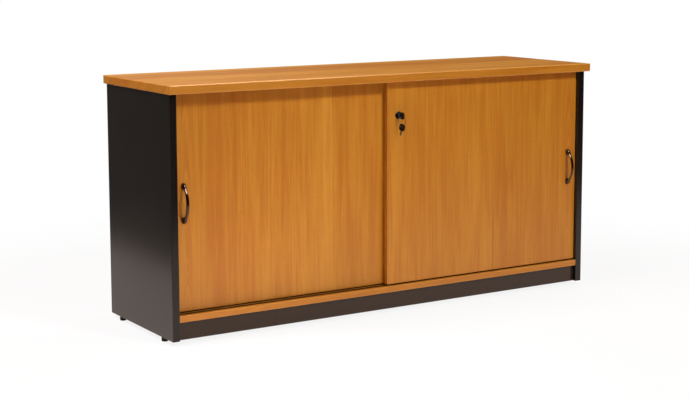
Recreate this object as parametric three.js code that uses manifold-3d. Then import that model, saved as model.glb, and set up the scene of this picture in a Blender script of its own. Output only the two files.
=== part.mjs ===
// Office credenza: a boarded carcass on levelling feet, two sliding doors that roll in grooved
// tracks, bow handles, and a push lock with its key and a spare key on a ring.
// Millimetres, +Z up. X runs along the front, the front faces -Y, and the origin is on the floor
// below the middle of the top.
import * as THREE from "three";
import { mergeVertices } from "three/addons/utils/BufferGeometryUtils.js";
import Module from "manifold-3d";

// Overall size and boards
const WIDTH = 1500;
const DEPTH = 450;
const HEIGHT = 730;
const TOP_THICK = 25;
const END_THICK = 22;
const BOARD_THICK = 18;
const BACK_THICK = 16;
const SIDE_OVERHANG = 9;
const FRONT_OVERHANG = 20;
const BACK_OVERHANG = 5;
const BACK_RECESS = 5;
const FOOT_HEIGHT = 13;
const KICK_HEIGHT = 53;
const KICK_SETBACK = 13;
const BOTTOM_SETBACK = 1;
const TOP_ROUND = 2.5;
const DOOR_ROUND = 1.5;
const BOARD_ROUND = 1;
const CORNER_RATIO = 1.5;

// Sliding doors and their tracks
const DOOR_SETBACK = 12;
const DOOR_SPACING = 4;
const DOOR_OVERLAP = 36;
const DOOR_END_GAP = 0.5;
const DOOR_FLOOR_GAP = 4;
const DOOR_HEAD_GAP = 3;
const TRACK_HALF = 4;
const TRACK_WALL = 1;
const TRACK_LIP = 2;
const TRACK_LIP_THICK = 0.8;
const BOTTOM_TRACK_DEPTH = 6;
const TOP_TRACK_DEPTH = 11;
const FIT = 0.2;

// Door rollers and head guides
const ROLLER_INSET = 90;
const WHEEL_RADIUS = 12;
const WHEEL_HALF = 2.3;
const WHEEL_CLEARANCE = 0.3;
const WHEEL_CHAMFER = 1;
const HOUSING_LENGTH = 40;
const HOUSING_WIDTH = 12;
const HOUSING_HEIGHT = 24;
const WHEEL_SLOT = { length: 30, width: 5.6, height: 18 };
const AXLE_RADIUS = 1.5;
const AXLE_LENGTH = 11;
const GUIDE_LENGTH = 30;
const GUIDE_WIDTH = 10;
const GUIDE_DEPTH = 16;
const GUIDE_TONGUE = { half: 2.5, height: 11, chamfer: 1 };

// Shelves, their pins and the rows of pin holes
const SHELF_UNDERSIDE = 385;
const SHELF_FRONT_SETBACK = 6;
const SHELF_BACK_GAP = 4;
const SHELF_END_GAP = 0.8;
const DIVIDER_SETBACK = 7;
const PIN_ROW_INSET = 40;
const PIN_HEAD_RADIUS = 3.5;
const PIN_SHANK_RADIUS = 2.5;
const PIN_HEAD_LENGTH = 8;
const PIN_SHANK_LENGTH = 7;
const PIN_HOLE_DEPTH = 7.5;
const PIN_HOLE_PITCH = 32;
const PIN_HOLES_EACH_WAY = 2;
const PIN_REST_GAP = 0.1;

// Bow handles
const HANDLE_CENTRES = 96;
const HANDLE_REACH = 29;
const HANDLE_HEIGHT = 395;
const HANDLE_INSET = 33;
const BOW_WIDTH = 9;
const BOW_THICK = 5.5;
const BOSS = { base: 7.5, top: 5, height: 9, lip: 1.5 };
const BOW_START = 3;
const SCREW = { shank: 2, head: 4, headHeight: 2.2, bite: 6 };

// Push lock and keys
const LOCK_INSET = 39;
const LOCK_HEIGHT = 602;
const ROSETTE = { radius: 11.5, thick: 2.4, chamfer: 1 };
const BARREL = { outer: 9.4, inner: 7.6, depth: 16 };
const NUT = { radius: 13.2, thick: 4.2, recess: 0.2, clearance: 0.3 };
const PLUNGER = { radius: 7.3, reach: 8, shoulder: 10, chamfer: 0.8, bore: 5.2, boreDepth: 8 };
const BOLT = { radius: 5, tip: 14.7 };
const CORE = { radius: 5, proud: 0.4, depth: 7.7 };
const BLADE = { half: 1, halfHeight: 3.3, inside: 5.7, inBow: 5, notch: 1.4, notches: 3 };
const KEY_SLOT = { half: 1.3, halfHeight: 3.7, depth: 6.7 };
const KEY_BOW = { near: 10.2, far: 31.7, halfWidth: 11, half: 1.8, corner: 8, hole: 3.4, holeAt: 20 };
const KEY_RING = { radius: 16, wire: 0.8, drop: 1.7, turn: Math.PI / 12 };
const SPARE_KEY = { tilt: Math.PI / 12, hangGap: 0.4, bladeLength: 15.9 };

// Levelling feet
const FOOT_INSET_FRONT = 77;
const FOOT_INSET_REAR = 60;
const FOOT = { sole: 8.5, rim: 9.5, shoulder: 0.6, stud: 3.9, studLength: 29 };
const FOOT_SOCKET = { radius: 4.2, depth: 32 };

// Places worked out from the driving dimensions
const TOP_UNDERSIDE = HEIGHT - TOP_THICK;
const OUTSIDE_X = WIDTH / 2 - SIDE_OVERHANG;
const INSIDE_X = OUTSIDE_X - END_THICK;
const FRONT_Y = -DEPTH / 2 + FRONT_OVERHANG;
const REAR_Y = DEPTH / 2 - BACK_OVERHANG;
const BACK_FACE_Y = REAR_Y - BACK_RECESS - BACK_THICK;
const BOTTOM_UNDERSIDE = FOOT_HEIGHT + KICK_HEIGHT;
const BOTTOM_FACE = BOTTOM_UNDERSIDE + BOARD_THICK;
const DOOR_LOW = BOTTOM_FACE + DOOR_FLOOR_GAP;
const DOOR_HALF_HEIGHT = (TOP_UNDERSIDE - DOOR_HEAD_GAP - DOOR_LOW) / 2;
const DOOR_HALF_WIDTH = (INSIDE_X - DOOR_END_GAP + DOOR_OVERLAP / 2) / 2;
const DOOR_MIDDLE_X = INSIDE_X - DOOR_END_GAP - DOOR_HALF_WIDTH;
const DOOR_HALF_THICK = BOARD_THICK / 2;
const FRONT_DOOR_Y = FRONT_Y + DOOR_SETBACK + DOOR_HALF_THICK;
const REAR_DOOR_Y = FRONT_DOOR_Y + BOARD_THICK + DOOR_SPACING;
const DIVIDER_FRONT = REAR_DOOR_Y + DOOR_HALF_THICK + DIVIDER_SETBACK;
const SHELF_FRONT = DIVIDER_FRONT + SHELF_FRONT_SETBACK;
const SHELF_BACK = BACK_FACE_Y - SHELF_BACK_GAP;
const PIN_ROWS = [SHELF_FRONT + PIN_ROW_INSET, SHELF_BACK - PIN_ROW_INSET];
const PIN_HEIGHT = SHELF_UNDERSIDE - PIN_HEAD_RADIUS - PIN_REST_GAP;
// Wheel centre above the door's lower edge, so that the rim just clears the floor of the track
const TRACK_FLOOR = BOTTOM_FACE - BOTTOM_TRACK_DEPTH + TRACK_WALL;
const AXLE_HEIGHT = TRACK_FLOOR + WHEEL_CLEARANCE + WHEEL_RADIUS - DOOR_LOW;

// Facets of round work, and how far a cutter runs past the face that it opens
const HEXAGON_SIDES = 6;
const PIN_SIDES = 8;
const SMALL_SIDES = 12;
const ROUND_SIDES = 16;
const RING_STEPS = 28;
const BOW_STEPS = 20;
const EDGE_STEPS = 2;
const KEY_CORNER_STEPS = 4;
const OVERCUT = 1;
const MERGE_DISTANCE = 1e-4;

const wasm = await Module();
wasm.setup();

// Finishes, one new material for each piece
const finish = (color, roughness, metalness) => () => {
  return new THREE.MeshStandardMaterial({ color, roughness, metalness });
};
const beech = finish(0xc47f33, 0.45, 0);
const charcoal = finish(0x3a3633, 0.6, 0);
const darkMetal = finish(0x4a3a33, 0.25, 0.9);
const steel = finish(0xb8b8b6, 0.35, 1);
const nickel = finish(0x3a3836, 0.25, 1);
const blackPlastic = finish(0x121212, 0.5, 0);
const trackPlastic = finish(0x2c2018, 0.6, 0);
const nylon = finish(0x34322f, 0.5, 0);

// Solids for joining and cutting
function solidOf(geometry) {
  const bare = new THREE.BufferGeometry();
  const source = geometry.index ? geometry.toNonIndexed() : geometry;
  bare.setAttribute("position", source.getAttribute("position").clone());
  const merged = mergeVertices(bare, MERGE_DISTANCE);
  const vertProperties = new Float32Array(merged.getAttribute("position").array);
  const triVerts = new Uint32Array(merged.index.array);
  return new wasm.Manifold(new wasm.Mesh({ numProp: 3, vertProperties, triVerts }));
}

function geometryOf(solid) {
  const mesh = solid.getMesh();
  const geometry = new THREE.BufferGeometry();
  geometry.setAttribute("position", new THREE.BufferAttribute(new Float32Array(mesh.vertProperties), 3));
  geometry.setIndex(new THREE.BufferAttribute(new Uint32Array(mesh.triVerts), 1));
  geometry.computeVertexNormals();
  return geometry;
}

function cut(geometry, ...cutters) {
  return geometryOf(cutters.reduce((solid, cutter) => solid.subtract(solidOf(cutter)), solidOf(geometry)));
}

function join(geometry, ...others) {
  return geometryOf(others.reduce((solid, other) => solid.add(solidOf(other)), solidOf(geometry)));
}

// A plain box between two opposite corners
function block(low, high) {
  const size = high.map((value, axis) => value - low[axis]);
  const middle = high.map((value, axis) => (value + low[axis]) / 2);
  return new THREE.BoxGeometry(...size).translate(...middle);
}

// A rectangle with round corners, centred on the origin
function roundRectangle(halfWidth, halfHeight, corner) {
  const shape = new THREE.Shape();
  const x = halfWidth - corner;
  const y = halfHeight - corner;
  shape.absarc(x, -y, corner, -Math.PI / 2, 0);
  shape.absarc(x, y, corner, 0, Math.PI / 2);
  shape.absarc(-x, y, corner, Math.PI / 2, Math.PI);
  shape.absarc(-x, -y, corner, Math.PI, 1.5 * Math.PI);
  shape.closePath();
  return shape;
}

// A board with every edge rounded: a round-cornered rectangle with quarter-round bevels.
// The corner radius is wider than the bevel, so the bevel never closes the corner up.
function slab(width, depth, height, round) {
  const outline = roundRectangle(width / 2, depth / 2, CORNER_RATIO * round);
  const geometry = new THREE.ExtrudeGeometry(outline, {
    depth: height - 2 * round,
    bevelThickness: round,
    bevelSize: round,
    bevelOffset: -round,
    bevelSegments: EDGE_STEPS,
    curveSegments: EDGE_STEPS,
  });
  return geometry.translate(0, 0, round - height / 2);
}

// A plain prism: an outline in the XY plane, extruded between two heights
function prism(outline, low, high, curveSegments = EDGE_STEPS) {
  const options = { depth: high - low, bevelEnabled: false, curveSegments };
  const geometry = new THREE.ExtrudeGeometry(outline, options);
  return geometry.translate(0, 0, low);
}

// A prism along X, whose outline gives Y and Z
function prismAlongX(outline, low, high, curveSegments) {
  return prism(outline, low, high, curveSegments).rotateX(Math.PI / 2).rotateZ(Math.PI / 2);
}

// Turned work about the Y axis: radius and Y pairs, starting and ending on the axis or closed
function turned(profile, sides = ROUND_SIDES) {
  return new THREE.LatheGeometry(profile.map(([radius, y]) => new THREE.Vector2(radius, y)), sides);
}

// The same, about the Z axis and the X axis
const turnedAboutZ = (profile, sides) => turned(profile, sides).rotateX(Math.PI / 2);
const turnedAboutX = (profile, sides) => turned(profile, sides).rotateZ(-Math.PI / 2);

// A plain rod about the Y axis
const rod = (radius, low, high, sides) => turned([[0, low], [radius, low], [radius, high], [0, high]], sides);
const polygon = (points) => new THREE.Shape(points.map(([x, y]) => new THREE.Vector2(x, y)));

function circle(radius, sides) {
  const step = (2 * Math.PI) / sides;
  const points = Array.from({ length: sides }, (_, index) => {
    return [radius * Math.cos(index * step), radius * Math.sin(index * step)];
  });
  return polygon(points);
}

function place(group, name, geometry, material, x = 0, y = 0, z = 0) {
  const mesh = new THREE.Mesh(geometry, material);
  mesh.name = name;
  mesh.position.set(x, y, z);
  group.add(mesh);
  return mesh;
}

// A rounded board between two opposite corners, with cutters given in the same frame
function board(group, name, material, low, high, round, cutters = []) {
  const [width, depth, height] = high.map((value, axis) => value - low[axis]);
  const middle = high.map((value, axis) => (value + low[axis]) / 2);
  const away = middle.map((value) => -value);
  const moved = cutters.map((cutter) => cutter.translate(...away));
  place(group, name, cut(slab(width, depth, height, round), ...moved), material, ...middle);
}

// Two rows of pin holes in one face of an upright board, bored along X
function pinHoles(face) {
  const holes = [];
  for (const y of PIN_ROWS) {
    for (let step = -PIN_HOLES_EACH_WAY; step <= PIN_HOLES_EACH_WAY; step += 1) {
      const hole = rod(PIN_SHANK_RADIUS + FIT, -PIN_HOLE_DEPTH, PIN_HOLE_DEPTH, PIN_SIDES);
      hole.rotateZ(Math.PI / 2);
      holes.push(hole.translate(face, y, PIN_HEIGHT + step * PIN_HOLE_PITCH));
    }
  }
  return holes;
}

const footPlaces = [-1, 1].flatMap((side) => {
  const x = side * (OUTSIDE_X - END_THICK / 2);
  const name = side < 0 ? "left" : "right";
  return [
    { name: `front_${name}_foot`, side, x, y: FRONT_Y + FOOT_INSET_FRONT },
    { name: `rear_${name}_foot`, side, x, y: REAR_Y - FOOT_INSET_REAR },
  ];
});

// Groove in a board for one track, as wide and as deep as the track's channel
function trackGroove(y, surface, depth, direction) {
  const reach = TRACK_HALF + FIT;
  const floor = surface + direction * (depth + FIT);
  const open = surface - direction * BOARD_THICK;
  return block([-INSIDE_X, y - reach, Math.min(floor, open)], [INSIDE_X, y + reach, Math.max(floor, open)]);
}

// One track: a lipped channel pressed into its groove, drawn with the groove going down
function trackSection(depth) {
  const inner = TRACK_HALF - TRACK_WALL;
  const lip = TRACK_HALF + TRACK_LIP;
  const floor = TRACK_WALL - depth;
  return polygon([
    [-TRACK_HALF, 0], [-TRACK_HALF, -depth], [TRACK_HALF, -depth], [TRACK_HALF, 0],
    [lip, 0], [lip, TRACK_LIP_THICK], [inner, TRACK_LIP_THICK], [inner, floor],
    [-inner, floor], [-inner, TRACK_LIP_THICK], [-lip, TRACK_LIP_THICK], [-lip, 0],
  ]);
}

// Carcass: top, ends, bottom, kick board, back, divider, brace and shelves
function addCarcass(group) {
  const tracks = [FRONT_DOOR_Y, REAR_DOOR_Y];
  board(group, "top_panel", beech(), [-WIDTH / 2, -DEPTH / 2, TOP_UNDERSIDE], [WIDTH / 2, DEPTH / 2, HEIGHT],
    TOP_ROUND, tracks.map((y) => trackGroove(y, TOP_UNDERSIDE, TOP_TRACK_DEPTH, 1)));
  for (const side of [-1, 1]) {
    const sockets = footPlaces.filter((foot) => foot.side === side).map((foot) => {
      const hole = rod(FOOT_SOCKET.radius, -FOOT_SOCKET.depth, FOOT_SOCKET.depth, SMALL_SIDES);
      return hole.rotateX(Math.PI / 2).translate(foot.x, foot.y, FOOT_HEIGHT);
    });
    const edges = [side * INSIDE_X, side * OUTSIDE_X].sort((a, b) => a - b);
    board(group, side < 0 ? "left_end_panel" : "right_end_panel", charcoal(),
      [edges[0], FRONT_Y, FOOT_HEIGHT], [edges[1], REAR_Y, TOP_UNDERSIDE], BOARD_ROUND,
      [...pinHoles(side * INSIDE_X), ...sockets]);
  }
  board(group, "bottom_panel", beech(), [-INSIDE_X, FRONT_Y + BOTTOM_SETBACK, BOTTOM_UNDERSIDE],
    [INSIDE_X, BACK_FACE_Y, BOTTOM_FACE], BOARD_ROUND,
    tracks.map((y) => trackGroove(y, BOTTOM_FACE, BOTTOM_TRACK_DEPTH, -1)));
  const kickFront = FRONT_Y + KICK_SETBACK;
  board(group, "kick_board", charcoal(), [-INSIDE_X, kickFront, FOOT_HEIGHT],
    [INSIDE_X, kickFront + BOARD_THICK, BOTTOM_UNDERSIDE], BOARD_ROUND);
  board(group, "back_panel", charcoal(), [-INSIDE_X, BACK_FACE_Y, FOOT_HEIGHT],
    [INSIDE_X, REAR_Y - BACK_RECESS, TOP_UNDERSIDE], BOARD_ROUND);
  const half = BOARD_THICK / 2;
  board(group, "plinth_brace", charcoal(), [-half, kickFront + BOARD_THICK, FOOT_HEIGHT],
    [half, BACK_FACE_Y, BOTTOM_UNDERSIDE], BOARD_ROUND);
  board(group, "centre_divider", beech(), [-half, DIVIDER_FRONT, BOTTOM_FACE],
    [half, BACK_FACE_Y, TOP_UNDERSIDE], BOARD_ROUND, [...pinHoles(-half), ...pinHoles(half)]);
  for (const side of [-1, 1]) {
    const reach = [side * (half + SHELF_END_GAP), side * (INSIDE_X - SHELF_END_GAP)].sort((a, b) => a - b);
    board(group, side < 0 ? "left_shelf" : "right_shelf", beech(), [reach[0], SHELF_FRONT, SHELF_UNDERSIDE],
      [reach[1], SHELF_BACK, SHELF_UNDERSIDE + BOARD_THICK], BOARD_ROUND);
  }
}

function addTracks(group) {
  const length = INSIDE_X - DOOR_END_GAP;
  for (const [name, y] of [["front", FRONT_DOOR_Y], ["rear", REAR_DOOR_Y]]) {
    const low = prismAlongX(trackSection(BOTTOM_TRACK_DEPTH), -length, length);
    place(group, `${name}_bottom_track`, low, trackPlastic(), 0, y, BOTTOM_FACE);
    const high = prismAlongX(trackSection(TOP_TRACK_DEPTH), -length, length).rotateX(Math.PI);
    place(group, `${name}_top_track`, high, trackPlastic(), 0, y, TOP_UNDERSIDE);
  }
}

// Shelf pins: a thin shank in the board and a thicker head under the shelf
function addShelfPins(group) {
  const profile = [
    [0, -PIN_SHANK_LENGTH], [PIN_SHANK_RADIUS, -PIN_SHANK_LENGTH], [PIN_SHANK_RADIUS, FIT],
    [PIN_HEAD_RADIUS, FIT], [PIN_HEAD_RADIUS, PIN_HEAD_LENGTH], [0, PIN_HEAD_LENGTH],
  ];
  const half = BOARD_THICK / 2;
  const faces = [
    ["left_shelf_left", -INSIDE_X, 1], ["left_shelf_right", -half, -1],
    ["right_shelf_left", half, 1], ["right_shelf_right", INSIDE_X, -1],
  ];
  for (const [name, face, direction] of faces) {
    PIN_ROWS.forEach((y, row) => {
      const pin = turnedAboutX(profile, PIN_SIDES);
      const facing = direction < 0 ? pin.rotateZ(Math.PI) : pin;
      place(group, `${name}_${row === 0 ? "front" : "rear"}_pin`, facing, steel(), face, y, PIN_HEIGHT);
    });
  }
}

// Levelling feet: a round block with a stud screwed up into the end panel
function addFeet(group) {
  const blockTop = FOOT_HEIGHT - FIT;
  const studTop = blockTop + FOOT.studLength;
  const chamfer = FOOT.rim - FOOT.sole;
  const profile = [
    [0, 0], [FOOT.sole, 0], [FOOT.rim, chamfer], [FOOT.rim, blockTop - FOOT.shoulder],
    [FOOT.rim - FOOT.shoulder, blockTop], [FOOT.stud, blockTop], [FOOT.stud, studTop], [0, studTop],
  ];
  for (const foot of footPlaces) {
    place(group, foot.name, turnedAboutZ(profile), blackPlastic(), foot.x, foot.y, 0);
  }
}

// Bow handle: a flat bar bent along an arc between two round bosses that are drilled for screws
function bowHandle() {
  const half = HANDLE_CENTRES / 2;
  const rise = HANDLE_REACH - BOW_THICK / 2 - BOW_START;
  const radius = (half * half + rise * rise) / (2 * rise);
  const sweep = Math.asin(half / radius);
  const arc = new THREE.Curve();
  arc.getPoint = (t, target = new THREE.Vector3()) => {
    const angle = (2 * t - 1) * sweep;
    return target.set(0, radius * (1 - Math.cos(angle)) - rise - BOW_START, radius * Math.sin(angle));
  };
  const section = circle(0.5, SMALL_SIDES).getPoints().map(({ x, y }) => [x * BOW_WIDTH, y * BOW_THICK]);
  const options = { steps: BOW_STEPS, extrudePath: arc, bevelEnabled: false };
  const bar = new THREE.ExtrudeGeometry(polygon(section), options);
  const bossProfile = [
    [0, -BOSS.height], [BOSS.top, -BOSS.height], [BOSS.base, -BOSS.lip], [BOSS.base, 0], [0, 0],
  ];
  const ends = [-half, half];
  const bosses = ends.map((z) => turned(bossProfile).translate(0, 0, z));
  const drill = (z) => rod(SCREW.shank + FIT, -SCREW.bite - FIT, OVERCUT, PIN_SIDES).translate(0, 0, z);
  const holes = ends.map(drill);
  return cut(join(bar, ...bosses), ...holes);
}

// A screw driven from behind the door into a handle's boss
function handleScrew() {
  const back = BOARD_THICK;
  return turned([
    [0, -SCREW.bite], [SCREW.shank, -SCREW.bite], [SCREW.shank, back], [SCREW.head, back],
    [SCREW.head, back + SCREW.headHeight], [0, back + SCREW.headHeight],
  ], PIN_SIDES);
}

function rollerHousing() {
  const shell = block([-HOUSING_LENGTH / 2 + FIT, -HOUSING_WIDTH / 2 + FIT, 0],
    [HOUSING_LENGTH / 2 - FIT, HOUSING_WIDTH / 2 - FIT, HOUSING_HEIGHT - FIT]);
  const slot = block([-WHEEL_SLOT.length / 2, -WHEEL_SLOT.width / 2, -OVERCUT],
    [WHEEL_SLOT.length / 2, WHEEL_SLOT.width / 2, WHEEL_SLOT.height]);
  const bore = rod(AXLE_RADIUS + WHEEL_CLEARANCE, -HOUSING_WIDTH, HOUSING_WIDTH, PIN_SIDES);
  return cut(shell, slot, bore.translate(0, 0, AXLE_HEIGHT));
}

function rollerWheel() {
  const bore = AXLE_RADIUS + WHEEL_CLEARANCE;
  const shoulder = WHEEL_RADIUS - WHEEL_CHAMFER;
  const tread = WHEEL_HALF - WHEEL_CHAMFER;
  return turned([
    [bore, -WHEEL_HALF], [shoulder, -WHEEL_HALF], [WHEEL_RADIUS, -tread], [WHEEL_RADIUS, tread],
    [shoulder, WHEEL_HALF], [bore, WHEEL_HALF], [bore, -WHEEL_HALF],
  ]);
}

// Head guide: a block in the door's top edge with a tongue that runs in the top track
function headGuide() {
  const body = GUIDE_WIDTH / 2 - FIT;
  const { half, height, chamfer } = GUIDE_TONGUE;
  const outline = polygon([
    [-body, FIT - GUIDE_DEPTH], [body, FIT - GUIDE_DEPTH], [body, 0], [half, 0], [half, height - chamfer],
    [half - chamfer, height], [chamfer - half, height], [-half, height - chamfer], [-half, 0], [-body, 0],
  ]);
  return prismAlongX(outline, FIT - GUIDE_LENGTH / 2, GUIDE_LENGTH / 2 - FIT);
}

// One sliding door with its handle, screws, rollers and guides; side is -1 on the left, 1 on the right.
// The group's origin is in the middle of the door's lower edge.
function addDoor(group, name, side, extraCutters = []) {
  const height = 2 * DOOR_HALF_HEIGHT;
  const handleX = side * (DOOR_HALF_WIDTH - HANDLE_INSET);
  const handleZ = HANDLE_HEIGHT - DOOR_LOW;
  const screwHeights = [["lower", handleZ - HANDLE_CENTRES / 2], ["upper", handleZ + HANDLE_CENTRES / 2]];
  const ends = [["a", -1], ["b", 1]].map(([end, sign]) => [end, sign * (DOOR_HALF_WIDTH - ROLLER_INSET)]);
  const screwHoles = screwHeights.map(([, z]) => {
    return rod(SCREW.shank + FIT, -BOARD_THICK, BOARD_THICK, PIN_SIDES).translate(handleX, 0, z);
  });
  const mortise = (x, length, width, low, high) => {
    return block([x - length / 2, -width / 2, low], [x + length / 2, width / 2, high]);
  };
  const mortises = ends.flatMap(([, x]) => [
    mortise(x, HOUSING_LENGTH, HOUSING_WIDTH, -OVERCUT, HOUSING_HEIGHT),
    mortise(x, GUIDE_LENGTH, GUIDE_WIDTH, height - GUIDE_DEPTH, height + OVERCUT),
  ]);
  board(group, `${name}_door`, beech(), [-DOOR_HALF_WIDTH, -DOOR_HALF_THICK, 0],
    [DOOR_HALF_WIDTH, DOOR_HALF_THICK, height], DOOR_ROUND, [...screwHoles, ...mortises, ...extraCutters]);
  place(group, `${name}_handle`, bowHandle(), darkMetal(), handleX, -DOOR_HALF_THICK, handleZ);
  for (const [level, z] of screwHeights) {
    place(group, `${name}_handle_${level}_screw`, handleScrew(), steel(), handleX, -DOOR_HALF_THICK, z);
  }
  for (const [end, x] of ends) {
    place(group, `${name}_roller_housing_${end}`, rollerHousing(), blackPlastic(), x, 0, 0);
    const axle = rod(AXLE_RADIUS, -AXLE_LENGTH / 2, AXLE_LENGTH / 2, PIN_SIDES);
    place(group, `${name}_roller_axle_${end}`, axle, steel(), x, 0, AXLE_HEIGHT);
    place(group, `${name}_roller_wheel_${end}`, rollerWheel(), nylon(), x, 0, AXLE_HEIGHT);
    place(group, `${name}_top_guide_${end}`, headGuide(), nylon(), x, 0, height);
  }
}

// Holes for the lock in the front door: the barrel's bore and the nut's recess behind it
function lockHoles(x, z) {
  const recess = DOOR_HALF_THICK - NUT.thick - 2 * NUT.recess;
  const back = DOOR_HALF_THICK + OVERCUT;
  const bore = rod(BARREL.outer + FIT, -back, back).translate(x, 0, z);
  const nutRecess = rod(NUT.radius + NUT.clearance, recess, back).translate(x, 0, z);
  return [bore, nutRecess];
}

// Push lock, drawn with its origin where its axis meets the door's front face
function addLock(group) {
  const housing = turned([
    [BARREL.inner, -ROSETTE.thick], [ROSETTE.radius - ROSETTE.chamfer, -ROSETTE.thick],
    [ROSETTE.radius, ROSETTE.chamfer - ROSETTE.thick], [ROSETTE.radius, 0], [BARREL.outer, 0],
    [BARREL.outer, BARREL.depth], [BARREL.inner, BARREL.depth], [BARREL.inner, -ROSETTE.thick],
  ]);
  place(group, "lock_housing", housing, nickel());
  const hexagon = circle(NUT.radius, HEXAGON_SIDES);
  hexagon.holes.push(circle(BARREL.outer + NUT.clearance, ROUND_SIDES));
  const nutHigh = BOARD_THICK - NUT.recess;
  const nut = prism(hexagon, -nutHigh, NUT.thick - nutHigh).rotateX(Math.PI / 2);
  place(group, "lock_nut", nut, steel());
  const plunger = turned([
    [0, PLUNGER.boreDepth], [PLUNGER.bore, PLUNGER.boreDepth], [PLUNGER.bore, -PLUNGER.reach],
    [PLUNGER.radius - PLUNGER.chamfer, -PLUNGER.reach], [PLUNGER.radius, PLUNGER.chamfer - PLUNGER.reach],
    [PLUNGER.radius, PLUNGER.shoulder], [BOLT.radius, PLUNGER.shoulder], [BOLT.radius, BOLT.tip],
    [0, BOLT.tip],
  ]);
  place(group, "lock_plunger", plunger, nickel());
  const coreFront = -PLUNGER.reach - CORE.proud;
  const slot = block([-KEY_SLOT.half, coreFront - OVERCUT, -KEY_SLOT.halfHeight],
    [KEY_SLOT.half, KEY_SLOT.depth, KEY_SLOT.halfHeight]);
  place(group, "lock_core", cut(rod(CORE.radius, coreFront, CORE.depth), slot), steel());
}

// A key's moulded bow with its ring hole and the pocket that holds the blade, blade end towards +Y
function keyBow() {
  const length = KEY_BOW.far - KEY_BOW.near;
  const middle = (KEY_BOW.far + KEY_BOW.near) / 2;
  const outline = roundRectangle(length / 2, KEY_BOW.halfWidth, KEY_BOW.corner);
  const plate = prismAlongX(outline, -KEY_BOW.half, KEY_BOW.half, KEY_CORNER_STEPS).translate(0, -middle, 0);
  const hole = rod(KEY_BOW.hole, -KEY_BOW.hole, KEY_BOW.hole, SMALL_SIDES).rotateZ(Math.PI / 2);
  const deep = -KEY_BOW.near - BLADE.inBow - FIT;
  const pocket = block([-BLADE.half - FIT, deep, -BLADE.halfHeight - FIT],
    [BLADE.half + FIT, OVERCUT - KEY_BOW.near, BLADE.halfHeight + FIT]);
  return cut(plate, hole.translate(0, -KEY_BOW.holeAt, 0), pocket);
}

// A key's flat blade from inside the bow to its tip, with notches along its lower edge
function keyBlade(tip) {
  const start = -KEY_BOW.near - BLADE.inBow;
  const notchPitch = (tip + KEY_BOW.near) / (BLADE.notches + 1.5);
  const points = [[start, BLADE.halfHeight], [start, -BLADE.halfHeight]];
  for (let index = 1; index <= BLADE.notches; index += 1) {
    const y = -KEY_BOW.near + (index + 0.5) * notchPitch;
    points.push([y - BLADE.notch, -BLADE.halfHeight], [y, BLADE.notch - BLADE.halfHeight]);
    points.push([y + BLADE.notch, -BLADE.halfHeight]);
  }
  points.push([tip, 0], [tip - BLADE.halfHeight, BLADE.halfHeight]);
  return prismAlongX(polygon(points), -BLADE.half, BLADE.half);
}

// The key in the lock, the ring through its bow and the spare key hanging from the ring
function addKeys(group) {
  place(group, "key_bow", keyBow(), blackPlastic());
  place(group, "key_blade", keyBlade(BLADE.inside), steel());
  const ring = new THREE.TorusGeometry(KEY_RING.radius, KEY_RING.wire, HEXAGON_SIDES, RING_STEPS);
  ring.rotateX(Math.PI / 2).rotateZ(KEY_RING.turn);
  const ringY = -KEY_BOW.holeAt;
  place(group, "key_ring", ring, steel(), 0, ringY, -KEY_RING.drop - KEY_RING.radius);
  const wireTop = -KEY_RING.drop - 2 * KEY_RING.radius + KEY_RING.wire;
  const spare = new THREE.Group();
  spare.position.set(0, ringY, wireTop + SPARE_KEY.hangGap - KEY_BOW.hole);
  spare.rotation.set(-Math.PI / 2 + SPARE_KEY.tilt, 0, KEY_RING.turn, "ZYX");
  place(spare, "spare_key_bow", keyBow(), blackPlastic(), 0, KEY_BOW.holeAt, 0);
  const spareTip = SPARE_KEY.bladeLength - KEY_BOW.near;
  place(spare, "spare_key_blade", keyBlade(spareTip), steel(), 0, KEY_BOW.holeAt, 0);
  group.add(spare);
}

const credenza = new THREE.Group();
const carcass = new THREE.Group();
addCarcass(carcass);
addTracks(carcass);
addShelfPins(carcass);
addFeet(carcass);

const leftDoor = new THREE.Group();
leftDoor.position.set(-DOOR_MIDDLE_X, REAR_DOOR_Y, DOOR_LOW);
addDoor(leftDoor, "left", -1);

const rightDoor = new THREE.Group();
rightDoor.position.set(DOOR_MIDDLE_X, FRONT_DOOR_Y, DOOR_LOW);
const lockX = LOCK_INSET - DOOR_HALF_WIDTH;
const lockZ = LOCK_HEIGHT - DOOR_LOW;
addDoor(rightDoor, "right", 1, lockHoles(lockX, lockZ));
const lock = new THREE.Group();
lock.position.set(lockX, -DOOR_HALF_THICK, lockZ);
addLock(lock);
addKeys(lock);
rightDoor.add(lock);

credenza.add(carcass, leftDoor, rightDoor);
export default credenza;
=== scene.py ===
# %% [markdown]
# An office credenza: a beech-coloured top and two sliding doors on a charcoal carcass.
# The imported CAD model is loaded first and is never moved, so every piece made below takes its
# place from it.

# %% Load the frame
import math
import bpy
import numpy as np
from mathutils import Matrix, Vector


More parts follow.
